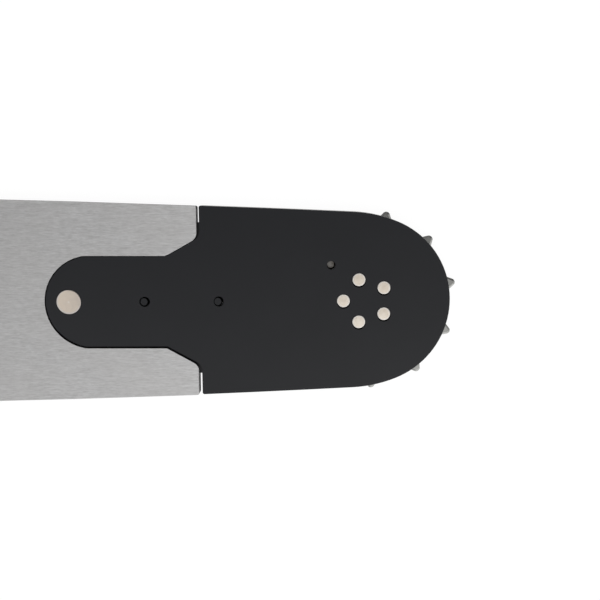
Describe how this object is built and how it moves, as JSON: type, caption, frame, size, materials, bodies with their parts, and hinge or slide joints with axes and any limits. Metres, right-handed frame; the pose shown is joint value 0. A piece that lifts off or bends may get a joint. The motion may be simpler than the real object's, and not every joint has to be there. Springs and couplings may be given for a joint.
{
  "type": "chainsaw guide bar",
  "caption": "Flat steel guide bar for a chain saw, with grooved bowed rails, a slotted tail and a black riveted nose in which a toothed sprocket turns.",
  "frame": {"origin": "middle of the stud slot, half way through the bar's thickness", "axes": "+X along the bar to the sprocket nose, +Y across the bar, +Z out of the front face"},
  "size_m": [0.5804, 0.0724, 0.0048],
  "materials": {
    "blade_steel": "ground, with fine scratches along the bar",
    "nose_black": "satin black coating",
    "core_steel": "black coating",
    "rivet_steel": "warm grey, dressed flush",
    "sprocket_steel": "plain hardened steel",
    "bearing_steel": "ground and greased"
  },
  "bodies": {
    "bar": {"bar_body": "blade_steel", "nose_plate_front": "nose_black", "nose_plate_back": "nose_black", "nose_core": "core_steel", "inner_race": "bearing_steel", "race_rivets": "rivet_steel", "tongue_rivet": "rivet_steel", "core_pins": "nose_black"},
    "sprocket": {"sprocket": "sprocket_steel"},
    "rollers": {"roller_01": "bearing_steel", "roller_02": "bearing_steel", "roller_03": "bearing_steel", "roller_04": "bearing_steel", "roller_05": "bearing_steel", "roller_06": "bearing_steel", "roller_07": "bearing_steel", "roller_08": "bearing_steel", "roller_09": "bearing_steel", "roller_10": "bearing_steel", "roller_11": "bearing_steel", "roller_12": "bearing_steel", "roller_13": "bearing_steel", "roller_14": "bearing_steel", "roller_15": "bearing_steel", "roller_16": "bearing_steel", "roller_17": "bearing_steel", "roller_18": "bearing_steel", "roller_19": "bearing_steel", "roller_20": "bearing_steel", "roller_21": "bearing_steel", "roller_22": "bearing_steel", "roller_23": "bearing_steel", "roller_24": "bearing_steel", "roller_25": "bearing_steel", "roller_26": "bearing_steel", "roller_27": "bearing_steel", "roller_28": "bearing_steel", "roller_29": "bearing_steel", "roller_30": "bearing_steel", "roller_31": "bearing_steel", "roller_32": "bearing_steel", "roller_33": "bearing_steel"}
  },
  "joints": [
    {"name": "sprocket_spin", "type": "hinge", "parent": "bar", "child": "sprocket", "pos_m": [0.5053, 0.00044, 0], "axis": [0, 0, 1], "continuous": true},
    {"name": "roller_set_spin", "type": "hinge", "parent": "bar", "child": "rollers", "pos_m": [0.5053, 0.00044, 0], "axis": [0, 0, 1], "continuous": true}
  ],
  "couplings": [
    {"joint": "roller_set_spin", "follows": "sprocket_spin", "ratio": 0.5481}
  ]
}
